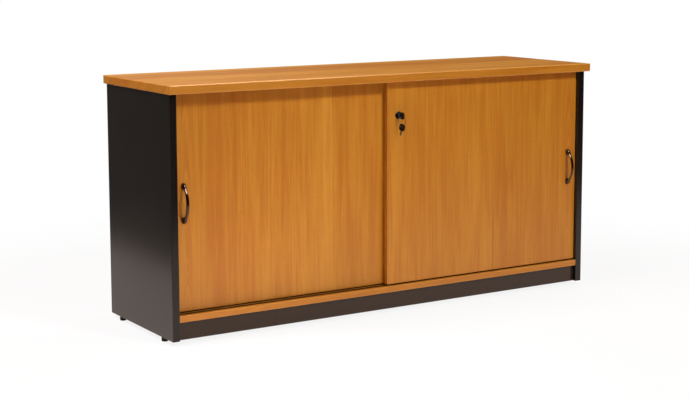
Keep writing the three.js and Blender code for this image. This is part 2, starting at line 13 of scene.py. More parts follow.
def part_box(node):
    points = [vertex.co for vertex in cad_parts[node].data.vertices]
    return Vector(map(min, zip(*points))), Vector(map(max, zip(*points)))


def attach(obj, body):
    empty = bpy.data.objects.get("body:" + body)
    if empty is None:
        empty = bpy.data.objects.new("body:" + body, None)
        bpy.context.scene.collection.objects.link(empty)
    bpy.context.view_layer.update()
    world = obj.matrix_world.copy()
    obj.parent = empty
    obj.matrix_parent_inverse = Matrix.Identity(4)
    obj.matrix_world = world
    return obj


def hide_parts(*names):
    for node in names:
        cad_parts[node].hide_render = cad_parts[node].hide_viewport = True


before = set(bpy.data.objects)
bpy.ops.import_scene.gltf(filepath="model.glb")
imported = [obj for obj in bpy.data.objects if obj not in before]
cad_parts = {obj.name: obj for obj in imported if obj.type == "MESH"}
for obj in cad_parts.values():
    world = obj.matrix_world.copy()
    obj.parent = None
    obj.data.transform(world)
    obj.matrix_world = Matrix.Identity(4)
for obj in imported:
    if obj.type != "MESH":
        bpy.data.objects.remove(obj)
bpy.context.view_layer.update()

MM = 0.001

# %% [markdown]
# The photograph was taken from the left of the front, a little above the top, with a long lens. It
# could be matched by eye, but the straight edges of the boards let the camera be worked out. The
# uprights in the picture hardly lean, as with a shift lens; a small shift keeps most of that.

# %% The camera
CAMERA_PLACE = (-2.4909, -3.8825, 1.0802)
CAMERA_AZIMUTH = math.radians(32.17)
CAMERA_PITCH = math.radians(-7.255)
CAMERA_ROLL = math.radians(-0.146)
CAMERA_LENS, CAMERA_SENSOR, CAMERA_SHIFT = 78.061, 36, -0.0798
camera_data = bpy.data.cameras.new("camera")
camera_data.sensor_width = CAMERA_SENSOR
camera_data.lens = CAMERA_LENS
camera_data.shift_y = CAMERA_SHIFT
camera = bpy.data.objects.new("camera", camera_data)
turn = Matrix.Rotation(-CAMERA_AZIMUTH, 4, "Z") @ Matrix.Rotation(math.pi / 2 + CAMERA_PITCH, 4, "X")
camera.matrix_world = Matrix.Translation(CAMERA_PLACE) @ turn @ Matrix.Rotation(CAMERA_ROLL, 4, "Z")
bpy.context.scene.collection.objects.link(camera)
bpy.context.scene.camera = camera
bpy.context.scene.view_settings.view_transform = "Standard"
print("camera at", CAMERA_PLACE, "lens", camera_data.lens)

# %% [markdown]
# Every new piece below is a skin: a grid of points worked out by numpy, whose neighbours make the
# faces. Modelling by hand would do for one shape, but a formula keeps its size in named values.
# Points that fall together are merged, which closes seams and poles, and the signed volume of the
# skin tells whether its faces point outwards.

# %% Grids of points into meshes
WELD = 1e-7
CREASE = math.radians(38)


def faces_of(grids):
    """One skin from several grids: index (row, column) and its three neighbours make a face."""
    quads, start = [], 0
    for grid in grids:
        index = start + np.arange(grid.shape[0] * grid.shape[1]).reshape(grid.shape[:2])
        corners = [index[:-1, :-1], index[1:, :-1], index[1:, 1:], index[:-1, 1:]]
        quads.append(np.stack(corners, -1).reshape(-1, 4))
        start += index.size
    points = np.concatenate([grid.reshape(-1, 3) for grid in grids])
    keys = np.round(points / WELD).astype(np.int64)
    _, first, merged = np.unique(keys, axis=0, return_index=True, return_inverse=True)
    quads = merged.reshape(-1)[np.concatenate(quads)]
    same = quads == np.roll(quads, -1, axis=1)
    bent = same.sum(1) == 1
    keep = (same[bent].argmax(1)[:, None] + np.arange(1, 4)) % 4
    return points[first], quads[~same.any(1)], np.take_along_axis(quads[bent], keep, 1)


def turned_outward(points, quads, triangles):
    """Six volumes are the sum of a . (b x c) over all triangles; where it is negative, faces turn."""
    split = np.concatenate([quads[:, [0, 1, 2]], quads[:, [0, 2, 3]], triangles])
    a, b, c = points[split[:, 0]], points[split[:, 1]], points[split[:, 2]]
    if np.einsum("ij,ij->", a, np.cross(b, c)) < 0:
        return quads[:, ::-1], triangles[:, ::-1]
    return quads, triangles


def add_piece(name, shells, material, body, replaced=()):
    """Makes one object from closed shells, each a list of grids in metres, riding on a CAD body."""
    points, faces, start = [], [], 0
    for grids in shells:
        corners, quads, triangles = faces_of(grids)
        quads, triangles = turned_outward(corners, quads, triangles)
        faces += (quads + start).tolist() + (triangles + start).tolist()
        points.append(corners)
        start += len(corners)
    mesh = bpy.data.meshes.new(name)
    mesh.from_pydata(np.concatenate(points).tolist(), [], faces)
    mesh.polygons.foreach_set("use_smooth", np.ones(len(faces), bool))
    mesh.set_sharp_from_angle(angle=CREASE)
    mesh.materials.append(material)
    piece = bpy.data.objects.new(name, mesh)
    bpy.context.scene.collection.objects.link(piece)
    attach(piece, body)
    if replaced:
        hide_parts(*replaced)
    print(f"{name}: {len(faces)} faces on {body}")
    return piece


print("mesh helpers ready")

# %% [markdown]
# Most of the small hardware is turned, so it is a profile carried round an axis. A sharp profile
# looks cut from paper; each corner is therefore replaced by a short curve, as a cutter leaves it.

# %% Turned shapes
MOST_OF_SIDE = 0.45


def soften(profile, radius, steps=4):
    """Each inner corner P becomes the curve (1-t)^2 A + 2t(1-t) P + t^2 B, A and B a radius away."""
    line = np.array(profile, float)
    corner = line[1:-1]

    def towards(other):
        step = other - corner
        length = np.linalg.norm(step, axis=1, keepdims=True)
        return corner + step * np.minimum(radius / length, MOST_OF_SIDE)

    t = np.linspace(0, 1, steps)[None, :, None]
    before, after = towards(line[:-2])[:, None], towards(line[2:])[:, None]
    curve = (1 - t) ** 2 * before + 2 * t * (1 - t) * corner[:, None] + t**2 * after
    return np.concatenate([line[:1], curve.reshape(-1, 2), line[-1:]])


def turned(profile, sides=64):
    """x = r cos a, y = r sin a, z = h for each (r, h) of the profile and each angle a."""
    angle = np.linspace(0, 2 * np.pi, sides, endpoint=False)
    radius, height = np.array(profile, float).T
    ring = np.stack([np.cos(angle), np.sin(angle)], -1)
    grid = np.concatenate([radius[:, None, None] * ring, np.broadcast_to(
        height[:, None, None], (len(height), sides, 1))], -1)
    return np.concatenate([grid, grid[:, :1]], 1)


def placed(grid, centre, axis="z"):
    """Millimetres to metres, with the axis of turning laid along x, y or z through the centre."""
    order = {"x": (2, 0, 1), "y": (1, 2, 0), "z": (0, 1, 2)}[axis]
    return (grid[..., order] + np.array(centre, float)) * MM


print("turned shapes ready")

# %% [markdown]
# A material here is a tree of shader nodes. It could be drawn in the node editor, but written out it
# can be read from top to bottom, so a few short helpers add a node, do sums and mix two colours.

# %% Shader helpers
def put(tree, kind, inputs=None, **settings):
    """Adds a shader node, sets its options, and links or fills its inputs."""
    made = tree.nodes.new("ShaderNode" + kind)
    for name, value in settings.items():
        setattr(made, name, value)
    for socket, value in (inputs or {}).items():
        if isinstance(value, bpy.types.NodeSocket):
            tree.links.new(value, made.inputs[socket])
        else:
            made.inputs[socket].default_value = value
    return made


def maths(tree, operation, *values, clamp=False):
    """One Math node; its inputs are numbers or sockets, in order."""
    node = put(tree, "Math", dict(enumerate(values)), operation=operation, use_clamp=clamp)
    return node.outputs[0]


def blended(tree, factor, first, second, kind="MIX"):
    """One Mix node for colours, first where the factor is 0 and second where it is 1."""
    mix = put(tree, "Mix", {0: factor, 6: first, 7: second}, data_type="RGBA", blend_type=kind)
    return mix.outputs[2]


def seen_as_white(tree):
    """1 for rays from the camera, from gloss and through glass, else 0; also the kinds of ray."""
    rays = put(tree, "LightPath").outputs
    gloss = maths(tree, "MAXIMUM", rays["Is Glossy Ray"], rays["Is Transmission Ray"])
    return maths(tree, "MAXIMUM", rays["Is Camera Ray"], gloss), rays


print("shader helpers ready")

# %% [markdown]
# The studio is a white floor that runs into a white background. The floor is white to the camera,
# keeps a faint shadow, and bounces a warm light, because the shadows on the real wood are redder
# than its lit face. The real set was dark beyond the paper: that is why the charcoal end and the
# doors are paler near the ground, where they mirror it. Dim cards that show only in reflections
# stand for the rest of the room.

# %% Floor and cards
FLOOR_HALF = 40
PAPER = (0.9, 0.9, 0.9, 1)
PAPER_BOUNCE = (0.91, 0.76, 0.66, 1)
BEYOND_PAPER = (0.25, 0.25, 0.25, 1)
PAPER_NEAR, PAPER_FAR = 1.5, 2.6
SHADOW_SHARE = 0.13
SHADOW_NEAR, SHADOW_FAR = 0.9, 2.0
FILL = (0.190, 0.098, 0.070, 1)
WHITE = (1, 1, 1, 1)
PAPER_FRONT = (1.0, 0.83, 0.73, 1)
PAPER_BEHIND = (0.80, 0.67, 0.60, 1)
FRONT_AT, BEHIND_AT = -0.6, 0.2
ROOM_DARK = (0.030, 0.025, 0.022, 1)
ROOM_LEFT = (0.105, 0.089, 0.077, 1)
ROOM_LIT = (0.28, 0.26, 0.24, 1)
ROOM_DIM = (0.070, 0.065, 0.060, 1)
LAMP_FACE = (14.0, 13.4, 12.8, 1)
TOP_TINT = (1.0, 0.95, 0.95, 1)


def stage_sheet(name, corner, along, up, material):
    """A flat sheet from one corner and its two sides."""
    corner, along, up = (np.array(v, float) for v in (corner, along, up))
    mesh = bpy.data.meshes.new(name)
    mesh.from_pydata([corner, corner + along, corner + along + up, corner + up], [], [(0, 1, 2, 3)])
    mesh.materials.append(material)
    sheet = bpy.data.objects.new(name, mesh)
    bpy.context.scene.collection.objects.link(sheet)
    return sheet


def stage_material(name):
    """A material with an empty node tree; returns both and the place of a point in metres."""
    material = bpy.data.materials.new(name)
    material.use_nodes = True
    tree = material.node_tree
    tree.nodes.clear()
    return material, tree, put(tree, "TexCoord").outputs["Object"]


def faded(tree, value, start, end):
    """A smooth step from 1 at the start to 0 at the end."""
    step = put(tree, "MapRange", {"Value": value, "From Min": start, "From Max": end, "To Min": 1,
                                  "To Max": 0}, interpolation_type="SMOOTHSTEP")
    return step.outputs["Result"]


def floor_material():
    """White paper to the camera with a faint shadow, a glow to gloss, and warm paper to other light."""
    material, tree, place = stage_material("studio_floor")
    white, rays = seen_as_white(tree)
    distance = put(tree, "VectorMath", {0: place}, operation="LENGTH").outputs["Value"]
    shadow = maths(tree, "MULTIPLY", faded(tree, distance, SHADOW_NEAR, SHADOW_FAR), SHADOW_SHARE)
    factor = maths(tree, "SUBTRACT", white, maths(tree, "MULTIPLY", shadow, rays["Is Camera Ray"]))
    paper = blended(tree, rays["Is Camera Ray"], PAPER_BOUNCE, PAPER)
    paper = blended(tree, faded(tree, distance, PAPER_NEAR, PAPER_FAR), BEYOND_PAPER, paper)
    pale = put(tree, "BsdfDiffuse", {"Color": paper})
    depth = put(tree, "SeparateXYZ", {0: place}).outputs[1]
    mirrored = blended(tree, faded(tree, depth, FRONT_AT, BEHIND_AT), PAPER_BEHIND, PAPER_FRONT)
    seen = blended(tree, rays["Is Camera Ray"], mirrored, WHITE)
    glow = put(tree, "Emission", {"Color": seen, "Strength": 1})
    both = put(tree, "MixShader", {0: factor, 1: pale.outputs[0], 2: glow.outputs[0]})
    put(tree, "OutputMaterial", {"Surface": both.outputs[0]})
    return material


def card_material(name, left, right, start=0.0, end=1.0):
    """An even glow that goes from one tone to another between two places across the room."""
    material, tree, place = stage_material(name)
    across = put(tree, "SeparateXYZ", {0: place}).outputs[0]
    tone = blended(tree, faded(tree, across, start, end), right, left)
    put(tree, "OutputMaterial", {"Surface": put(tree, "Emission", {"Color": tone}).outputs[0]})
    return material


stage_sheet("studio_floor", (-FLOOR_HALF, -FLOOR_HALF, 0), (2 * FLOOR_HALF, 0, 0),
            (0, 2 * FLOOR_HALF, 0), floor_material())
CARD_HEIGHT = (0, 0, 5.0)
CARD_LIFT = 0.001
LEFT_CARD, RIGHT_CARD, FRONT_CARD, REAR_CARD = -1.20, 2.6, -1.6, 2.0
LAMP_CARD = (-0.9, -1.55, 1.65)
LAMP_CARD_ALONG, LAMP_CARD_UP = (1.8, 0, 0), (0, 0, 0.9)
LIT_AT, DIM_AT = 0.2, 1.6
room = card_material("dark_room", ROOM_DARK, ROOM_DARK)
left_side = card_material("left_side_of_room", ROOM_LEFT, ROOM_LEFT)
wall = card_material("dim_wall", ROOM_LIT, ROOM_DIM, LIT_AT, DIM_AT)
lamp_face = card_material("lamp_face", LAMP_FACE, LAMP_FACE)
across, through = RIGHT_CARD - LEFT_CARD, REAR_CARD - FRONT_CARD
cards = [
    stage_sheet("left_card", (LEFT_CARD, FRONT_CARD, CARD_LIFT), (0, through, 0), CARD_HEIGHT, left_side),
    stage_sheet("right_card", (RIGHT_CARD, FRONT_CARD, CARD_LIFT), (0, through, 0), CARD_HEIGHT, room),
    stage_sheet("front_card", (LEFT_CARD, FRONT_CARD, CARD_LIFT), (across, 0, 0), CARD_HEIGHT, room),
    stage_sheet("rear_card", (LEFT_CARD, REAR_CARD, CARD_LIFT), (across, 0, 0), CARD_HEIGHT, wall),
    stage_sheet("lamp_card", LAMP_CARD, LAMP_CARD_ALONG, LAMP_CARD_UP, lamp_face),
]
for sheet in cards:
    sheet.visible_camera = sheet.visible_diffuse = sheet.visible_shadow = False
    sheet.visible_transmission = False

print("floor and", len(cards), "cards made")

# %% [markdown]
# One lamp stands in front, two hang above and a spot lights the floor before the doors. The lamps
# above are a little warm, as the light on the real top is. The front lamp is kept out of
# reflections, where a card shaped like a lamp takes its place and gives the handles a highlight.

# %% Background and lamps
SPOT_RADIUS = 0.2
FRONT_LAMP = {"place": (1.1, -4.6, 4.0), "target": (0, -0.2, 0.45), "size": 0.9, "watts": 186}
TOP_LAMP = {"place": (-1.8, 0.0, 2.7), "target": (-0.3, 0.0, 0.7), "size": 1.2, "watts": 68}
RIGHT_LAMP = {"place": (1.1, 0.5, 3.0), "target": (0.6, 0.0, 0.7), "size": 1.0, "watts": 19}
FLOOR_LAMP = {"place": (-0.6, -0.85, 2.6), "cone": math.radians(27), "soft": 0.6, "watts": 320}


def softbox(name, place, target, size, watts, mirrored=True, tint=WHITE):
    """A flat square lamp of one tint facing its target; it need not show in glossy surfaces."""
    lamp = bpy.data.lights.new(name, "AREA")
    lamp.shape = "SQUARE"
    lamp.size, lamp.energy, lamp.color = size, watts, tint[:3]
    holder = bpy.data.objects.new(name, lamp)
    facing = (Vector(target) - Vector(place)).to_track_quat("-Z", "Y")
    holder.matrix_world = Matrix.Translation(place) @ facing.to_matrix().to_4x4()
    holder.visible_glossy = mirrored
    bpy.context.scene.collection.objects.link(holder)


def floor_spot(name, place, cone, soft, watts):
    """A lamp straight above the floor whose cone stays in front of the object."""
    lamp = bpy.data.lights.new(name, "SPOT")
    lamp.spot_size, lamp.spot_blend, lamp.energy = cone, soft, watts
    lamp.shadow_soft_size = SPOT_RADIUS
    holder = bpy.data.objects.new(name, lamp)
    holder.matrix_world = Matrix.Translation(place)
    bpy.context.scene.collection.objects.link(holder)


world = bpy.data.worlds.new("studio")
world.use_nodes = True
bpy.context.scene.world = world
sky = world.node_tree
background = blended(sky, seen_as_white(sky)[0], FILL, WHITE)
sky.links.new(background, sky.nodes["Background"].inputs["Color"])

softbox("front_lamp", **FRONT_LAMP, mirrored=False)
softbox("top_lamp", **TOP_LAMP, tint=TOP_TINT)
softbox("right_lamp", **RIGHT_LAMP, tint=TOP_TINT)
floor_spot("floor_lamp", **FLOOR_LAMP)
print("four lamps lit")

# %% [markdown]
# The doors and top are chipboard faced with a printed beech pattern. An image of beech would be the
# usual way, but the pattern can be worked out: staves of uneven width with pale joints, bands and
# lines that drift between orange and yellow, arched lines where the saw passed near the heart of
# the tree, fine fibres, and the short dark flecks by which beech is known. All of it is one node
# group, read along each board's grain.

# %% The beech print
BEECH_DARK = (0.448, 0.149, 0.0070, 1)
BEECH_MIDDLE = (0.497, 0.186, 0.0100, 1)
BEECH_LIGHT = (0.642, 0.297, 0.0300, 1)
BEECH_YELLOW = (0.542, 0.244, 0.0180, 1)
BEECH_FLECK = (0.250, 0.064, 0.005, 1)
# Pale tone along the corners: partly edge wear, partly a painted highlight of the rounded beech edges
BEECH_WEAR_AND_HIGHLIGHT = (0.95, 0.56, 0.150, 1)
WANDER = 0.010
STAVE_WIDTH = 0.135
JOINT_HALF = 0.0016
ARCH_BEND = 600.0
ARCH_DEEPER = 0.12
ARCH_NARROW = 1200.0
# Lumps of each pattern in a metre across and along the grain
LUMPS = {"wander": (3.5, 1.1), "bands": (24, 1.6), "lines": (170, 4.2), "fibres": (900, 14),
         "drift": (60, 3.0), "arches": (30, 0.4), "specks": (520, 110)}
# Detail and roughness of each noise
DETAIL = {"bands": (2.5, 0.55), "lines": (2.5, 0.6), "fibres": (2.0, 0.6), "drift": (2.0, 0.6),
          "arches": (2.0, 0.6)}
# How strongly each pattern moves the tone
GAIN = {"bands": 0.80, "lines": 0.60, "arches": 1.3, "stave": 0.34, "joint": 0.22, "fibres": 0.35}
STAVE_RANDOM, STAVE_SHIFT, STAVE_LAYER = 0.7, 3.7, 9.0
DARK_AT, MIDDLE_AT, LIGHT_AT = 0.12, 0.5, 0.92
FLECK_CORE, FLECK_RIM, FLECK_SHARE, FLECK_DEPTH = 0.16, 0.34, 0.45, 0.30
YELLOW_FROM, YELLOW_TO, YELLOW_MOST = 0.45, 0.68, 0.75
BEECH_ROUGH, FIBRE_ROUGH, FLECK_ROUGH, FIBRE_RELIEF = 0.30, 0.10, 0.08, 0.4


def new_group(name, inputs, outputs):
    """An empty shader node group with named sockets; returns its tree, inputs and outputs."""
    tree = bpy.data.node_groups.new(name, "ShaderNodeTree")
    for direction, sockets in (("INPUT", inputs), ("OUTPUT", outputs)):
        for socket, kind in sockets.items():
            tree.interface.new_socket(socket, in_out=direction, socket_type="NodeSocket" + kind)
    return tree, tree.nodes.new("NodeGroupInput").outputs, tree.nodes.new("NodeGroupOutput").inputs


def noise(tree, vector, detail=2.0, roughness=0.5):
    """Soft noise of about one lump per unit of the vector."""
    made = put(tree, "TexNoise", {"Vector": vector, "Scale": 1, "Detail": detail, "Roughness": roughness})
    return made.outputs["Fac"]


def stretched(tree, across, along, seed, across_scale, along_scale):
    """A vector with its own number of lumps per metre across and along the grain."""
    a = maths(tree, "MULTIPLY", across, across_scale)
    b = maths(tree, "MULTIPLY", along, along_scale)
    return put(tree, "CombineXYZ", {0: a, 1: b, 2: seed}).outputs[0]


def centred(tree, value, gain):
    """gain * (value - 1/2), so that a noise pushes both ways."""
    return maths(tree, "MULTIPLY", maths(tree, "SUBTRACT", value, 0.5), gain)


def beech_group():
    """Tone = 1/2 + contrast * (staves + bands + lines, or arches near the heart) + fibres."""
    tree, given, out = new_group(
        "beech_print", {"Grain": "Vector", "Heart": "Float", "Seed": "Float", "Contrast": "Float"},
        {"Color": "Color", "Roughness": "Float", "Height": "Float"})
    axes = put(tree, "SeparateXYZ", {0: given["Grain"]}).outputs
    seed, along = given["Seed"], axes[1]
    # The thickness is read as more width, so that edges show lines too
    across = maths(tree, "ADD", axes[0], axes[2])
    wander = noise(tree, stretched(tree, across, along, seed, *LUMPS["wander"]))
    across = maths(tree, "ADD", across, centred(tree, wander, WANDER))
    # Staves: cells of a one-dimensional pattern across the grain, each with a tone of its own
    shift = maths(tree, "MULTIPLY", seed, STAVE_SHIFT)
    place = maths(tree, "ADD", maths(tree, "DIVIDE", across, STAVE_WIDTH), shift)
    spread = {"W": place, "Scale": 1, "Randomness": STAVE_RANDOM}
    cells = put(tree, "TexVoronoi", spread, voronoi_dimensions="1D")
    stave = put(tree, "SeparateColor", {0: cells.outputs["Color"]}).outputs[0]
    gaps = put(tree, "TexVoronoi", spread, voronoi_dimensions="1D", feature="DISTANCE_TO_EDGE")
    joint = put(tree, "MapRange", {"Value": gaps.outputs["Distance"], "From Min": JOINT_HALF / STAVE_WIDTH,
                                   "From Max": 0}).outputs["Result"]
    layer = maths(tree, "ADD", seed, maths(tree, "MULTIPLY", stave, STAVE_LAYER))
    bands = noise(tree, stretched(tree, across, along, layer, *LUMPS["bands"]), *DETAIL["bands"])
    lines = noise(tree, stretched(tree, across, along, layer, *LUMPS["lines"]), *DETAIL["lines"])
    fibres = noise(tree, stretched(tree, across, along, seed, *LUMPS["fibres"]), *DETAIL["fibres"])
    drift = noise(tree, stretched(tree, across, along, layer, *LUMPS["drift"]), *DETAIL["drift"])
    # Arches: equal values of along + bend * (across - heart)^2 are parabolas up the board
    off = maths(tree, "SUBTRACT", across, given["Heart"])
    square = maths(tree, "MULTIPLY", off, off)
    arch = maths(tree, "ADD", along, maths(tree, "MULTIPLY", square, ARCH_BEND))
    arches = noise(tree, stretched(tree, arch, along, seed, *LUMPS["arches"]), *DETAIL["arches"])
    near = maths(tree, "DIVIDE", 1.0, maths(tree, "ADD", 1.0, maths(tree, "MULTIPLY", square, ARCH_NARROW)))
    near = maths(tree, "POWER", near, 2.0)
    straight = maths(tree, "ADD", centred(tree, bands, GAIN["bands"]), centred(tree, lines, GAIN["lines"]))
    arched = maths(tree, "SUBTRACT", centred(tree, arches, GAIN["arches"]), ARCH_DEEPER)
    figure = put(tree, "Mix", {0: near, 2: straight, 3: arched}).outputs[0]
    figure = maths(tree, "ADD", figure, centred(tree, stave, GAIN["stave"]))
    figure = maths(tree, "ADD", figure, maths(tree, "MULTIPLY", joint, GAIN["joint"]))
    figure = maths(tree, "MULTIPLY", figure, given["Contrast"])
    tone = maths(tree, "ADD", maths(tree, "ADD", figure, MIDDLE_AT), centred(tree, fibres, GAIN["fibres"]))
    ramp = put(tree, "ValToRGB", {0: tone})
    ramp.color_ramp.elements[0].color = BEECH_DARK
    ramp.color_ramp.elements[0].position = DARK_AT
    ramp.color_ramp.elements[1].color = BEECH_LIGHT
    ramp.color_ramp.elements[1].position = LIGHT_AT
    ramp.color_ramp.elements.new(MIDDLE_AT).color = BEECH_MIDDLE
    speckled = stretched(tree, across, along, seed, *LUMPS["specks"])
    specks = put(tree, "TexVoronoi", {"Vector": speckled, "Scale": 1})
    chosen = put(tree, "SeparateColor", {0: specks.outputs["Color"]}).outputs[0]
    spot = put(tree, "MapRange", {"Value": specks.outputs["Distance"], "From Min": FLECK_RIM,
                                  "From Max": FLECK_CORE})
    chosen = maths(tree, "GREATER_THAN", chosen, FLECK_SHARE)
    fleck = maths(tree, "MULTIPLY", spot.outputs["Result"], chosen)
    yellow = put(tree, "MapRange", {"Value": drift, "From Min": YELLOW_FROM, "From Max": YELLOW_TO,
                                    "To Max": YELLOW_MOST})
    colour = blended(tree, yellow.outputs["Result"], ramp.outputs[0], BEECH_YELLOW)
    colour = blended(tree, maths(tree, "MULTIPLY", fleck, FLECK_DEPTH), colour, BEECH_FLECK)
    tree.links.new(colour, out["Color"])
    rough = maths(tree, "ADD", BEECH_ROUGH, maths(tree, "MULTIPLY", fibres, FIBRE_ROUGH))
    tree.links.new(maths(tree, "ADD", rough, maths(tree, "MULTIPLY", fleck, FLECK_ROUGH)), out["Roughness"])
    relief = maths(tree, "SUBTRACT", maths(tree, "MULTIPLY", fibres, FIBRE_RELIEF), fleck)
    tree.links.new(relief, out["Height"])
    return tree


beech_print = beech_group()
print("beech print has", len(beech_print.nodes), "nodes")

# %% [markdown]
# The end panels, kick board and back are faced with plain charcoal. It isn't flat black: the press
# plate leaves a fine pearl texture, and hands and cloths leave faint clouds in the sheen.
# A second group finds how far a point is from the board's edges, which on the real board carry a
# glued strip with a thin dark seam. Its corners are paler from wear and, on the beech, a painted highlight.

# %% Charcoal facing and edge strips
CHARCOAL_DEEP = (0.0052, 0.0042, 0.0035, 1)
CHARCOAL_PALE = (0.0095, 0.0076, 0.0064, 1)
CHARCOAL_BROWN = (0.034, 0.016, 0.006, 1)
CHARCOAL_WORN = (0.050, 0.045, 0.042, 1)
SEAM_DARK = (0.004, 0.004, 0.004, 1)
STRIP_THICK = 1.0 * MM
SEAM_HALF = 0.14 * MM
ARRIS = 2.2 * MM
FAR = 10.0
PEARL_LUMPS, CLOUD_LUMPS, WORN_LUMPS = 1400.0, 7.0, 60.0
PEARL_TONE, PEARL_ROUGH = 0.9, 0.05
CHARCOAL_ROUGH, CLOUD_ROUGH = 0.18, 0.08


def scaled(tree, place, scale):
    """A place multiplied by a number, so that a noise has that many lumps per metre."""
    return put(tree, "VectorMath", {0: place, 3: scale}, operation="SCALE").outputs[0]


def charcoal_group():
    """Tone = clouds + pearl texture; the clouds also move the sheen, and the pearl is the relief."""
    tree, given, out = new_group("charcoal_facing", {"Place": "Vector"},
                                 {"Color": "Color", "Roughness": "Float", "Height": "Float"})
    place = given["Place"]
    pearl = noise(tree, scaled(tree, place, PEARL_LUMPS), 2.0)
    clouds = noise(tree, scaled(tree, place, CLOUD_LUMPS), 4.0)
    tone = maths(tree, "ADD", centred(tree, pearl, PEARL_TONE), clouds, clamp=True)
    tree.links.new(blended(tree, tone, CHARCOAL_DEEP, CHARCOAL_PALE), out["Color"])
    sheen = maths(tree, "ADD", CHARCOAL_ROUGH, maths(tree, "MULTIPLY", clouds, CLOUD_ROUGH))
    tree.links.new(maths(tree, "ADD", sheen, centred(tree, pearl, PEARL_ROUGH)), out["Roughness"])
    tree.links.new(pearl, out["Height"])
    return tree


def edge_group():
    """Under is the depth below a broad face, inward the distance from the nearest edge of that face."""
    tree, given, out = new_group(
        "edge_strip", {"Place": "Vector", "Low": "Vector", "High": "Vector", "Thin": "Vector"},
        {"Strip": "Float", "Seam": "Float", "Wear And Highlight": "Float"})
    from_low = put(tree, "VectorMath", {0: given["Place"], 1: given["Low"]}, operation="SUBTRACT")
    from_high = put(tree, "VectorMath", {0: given["High"], 1: given["Place"]}, operation="SUBTRACT")
    least = put(tree, "VectorMath", {0: from_low.outputs[0], 1: from_high.outputs[0]}, operation="MINIMUM")
    under = put(tree, "VectorMath", {0: least.outputs[0], 1: given["Thin"]}, operation="DOT_PRODUCT")
    spread = put(tree, "VectorMath", {0: scaled(tree, given["Thin"], FAR), 1: least.outputs[0]})
    axes = put(tree, "SeparateXYZ", {0: spread.outputs[0]}).outputs
    inward = maths(tree, "MINIMUM", axes[0], maths(tree, "MINIMUM", axes[1], axes[2]))
    tree.links.new(maths(tree, "LESS_THAN", inward, STRIP_THICK), out["Strip"])
    from_seam = maths(tree, "ABSOLUTE", maths(tree, "SUBTRACT", inward, STRIP_THICK))
    tree.links.new(maths(tree, "LESS_THAN", from_seam, SEAM_HALF), out["Seam"])
    corner = maths(tree, "MAXIMUM", under.outputs["Value"], inward)
    # Paler near each corner: wear, and on the beech also a painted highlight of the rounded edge
    near_arris = put(tree, "MapRange", {"Value": corner, "From Min": ARRIS, "From Max": 0}).outputs["Result"]
    patchy = noise(tree, scaled(tree, given["Place"], WORN_LUMPS), 4.0)
    tree.links.new(maths(tree, "MULTIPLY", near_arris, patchy), out["Wear And Highlight"])
    return tree


charcoal_facing = charcoal_group()
edge_strip = edge_group()
print("charcoal and edge groups ready")

# %% [markdown]
# Each board has a material of its own, because the grain runs up the doors and along the top, and
# because the edge group needs that board's corners. They share the groups above, so a change to
# the print changes every board. Plastic edging covers the narrow sides, plainer than the print.

# %% Board materials
BUMP_DEPTH = 0.00006
CHARCOAL_BUMP = 0.5 * BUMP_DEPTH
BEECH_SHARES = {"Strip": 0.45, "Seam": 0.45, "Wear And Highlight": 0.9}
CHARCOAL_SHARES = {"Wear And Highlight": 0.5, "Seam": 0.7}
BEECH_SHEEN = 0.62


def empty_material(name):
    """A material with its Principled shader ready; returns both and the node tree."""
    material = bpy.data.materials.new(name)
    material.use_nodes = True
    tree = material.node_tree
    return material, tree, tree.nodes["Principled BSDF"].inputs


def fill_shader(tree, shader, colour, rough, height, depth=BUMP_DEPTH):
    """Links a colour, a roughness and a relief to the Principled shader."""
    bump = put(tree, "Bump", {"Height": height, "Distance": depth, "Strength": 1.0})
    tree.links.new(colour, shader["Base Color"])
    tree.links.new(rough, shader["Roughness"])
    tree.links.new(bump.outputs["Normal"], shader["Normal"])


def use_group(tree, group, inputs):
    """One copy of a node group in a material, with this material's values."""
    return put(tree, "Group", inputs, node_tree=group).outputs


def edges_of(tree, place, node, thin):
    """The edge group set to a CAD board's corners and the axis of its thickness."""
    low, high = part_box(node)
    axis = np.eye(3)[thin].tolist()
    return use_group(tree, edge_strip, {"Place": place, "Low": low, "High": high, "Thin": axis})


def beech_board(node, across, along, thin, heart, seed, contrast=1.2, strip=BEECH_DARK):
    """Grain = (across, along, depth under the face), so that the heart lies where it is given."""
    material, tree, shader = empty_material("beech_" + node)
    place = put(tree, "TexCoord").outputs["Object"]
    axes = put(tree, "SeparateXYZ", {0: place}).outputs
    depth = maths(tree, "SUBTRACT", axes[thin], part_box(node)[0][thin])
    grain = put(tree, "CombineXYZ", {0: axes[across], 1: axes[along], 2: depth}).outputs[0]
    beech = use_group(tree, beech_print, {"Grain": grain, "Heart": heart, "Seed": seed,
                                          "Contrast": contrast})
    edge = edges_of(tree, place, node, thin)
    colour = beech["Color"]
    # Strips and seams are the edging; the pale corners are wear and a painted highlight
    for mark, paint in (("Strip", strip), ("Seam", BEECH_FLECK), ("Wear And Highlight", BEECH_WEAR_AND_HIGHLIGHT)):
        share = maths(tree, "MULTIPLY", edge[mark], BEECH_SHARES[mark])
        colour = blended(tree, share, colour, paint)
    fill_shader(tree, shader, colour, beech["Roughness"], beech["Height"])
    shader["Specular IOR Level"].default_value = BEECH_SHEEN
    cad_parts[node].data.materials[0] = material


def charcoal_board(node, thin, brown=0.0):
    """The charcoal facing with its edge strips, browner for the kick board."""
    material, tree, shader = empty_material("charcoal_" + node)
    place = put(tree, "TexCoord").outputs["Object"]
    facing = use_group(tree, charcoal_facing, {"Place": place})
    edge = edges_of(tree, place, node, thin)
    colour = blended(tree, brown, facing["Color"], CHARCOAL_BROWN)
    for mark, paint in (("Wear And Highlight", CHARCOAL_WORN), ("Seam", SEAM_DARK)):
        share = maths(tree, "MULTIPLY", edge[mark], CHARCOAL_SHARES[mark])
        colour = blended(tree, share, colour, paint)
    fill_shader(tree, shader, colour, facing["Roughness"], facing["Height"], CHARCOAL_BUMP)
    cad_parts[node].data.materials[0] = material


X, Y, Z = 0, 1, 2
KICK_BROWN = 0.7
